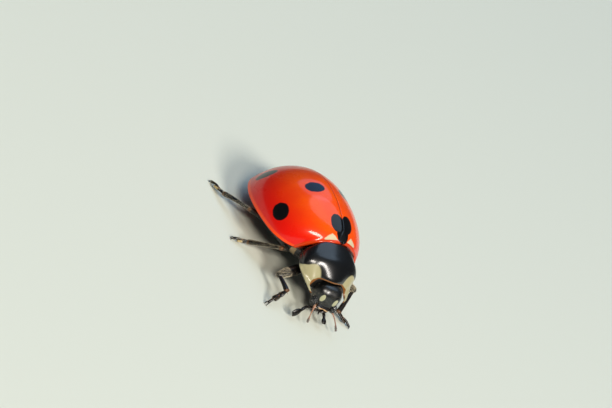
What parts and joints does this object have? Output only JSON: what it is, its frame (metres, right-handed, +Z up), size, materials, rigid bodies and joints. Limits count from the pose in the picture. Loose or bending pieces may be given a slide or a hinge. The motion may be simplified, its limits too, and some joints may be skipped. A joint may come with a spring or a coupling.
{
  "type": "ladybird",
  "caption": "Seven-spot ladybird at life size, a still museum model: red domed wing cases with black spots, black thorax and head with cream patches, jointed legs, clubbed antennae.",
  "frame": {"origin": "on the floor, under the middle of the bounding box", "axes": "+Z up, head towards -Y, the insect's left side towards +X"},
  "size_m": [0.008, 0.0092, 0.0038],
  "materials": {
    "wing_case": "glossy orange-red wing case with black spots",
    "black_shell": "glossy black cuticle with cream patches",
    "underside": "satin black cuticle",
    "limb": "satin black cuticle, finely haired",
    "horn_brown": "satin brown cuticle",
    "eye": "glossy black faceted eye"
  },
  "bodies": {
    "root": {"abdomen": "underside", "antenna_left": "horn_brown", "antenna_right": "horn_brown", "coxa_front_left": "limb", "coxa_front_right": "limb", "coxa_hind_left": "limb", "coxa_hind_right": "limb", "coxa_middle_left": "limb", "coxa_middle_right": "limb", "elytron_left": "wing_case", "elytron_right": "wing_case", "eye_left": "eye", "eye_right": "eye", "femur_front_left": "limb", "femur_front_right": "limb", "femur_hind_left": "limb", "femur_hind_right": "limb", "femur_middle_left": "limb", "femur_middle_right": "limb", "head": "black_shell", "labium": "underside", "labrum": "horn_brown", "mandible_left": "horn_brown", "mandible_right": "horn_brown", "palp_left": "limb", "palp_right": "limb", "pronotum": "black_shell", "prosternum": "underside", "scutellum": "black_shell", "tarsus_front_left": "limb", "tarsus_front_right": "limb", "tarsus_hind_left": "limb", "tarsus_hind_right": "limb", "tarsus_middle_left": "limb", "tarsus_middle_right": "limb", "thorax": "underside", "tibia_front_left": "limb", "tibia_front_right": "limb", "tibia_hind_left": "limb", "tibia_hind_right": "limb", "tibia_middle_left": "limb", "tibia_middle_right": "limb"}
  },
  "joints": []
}
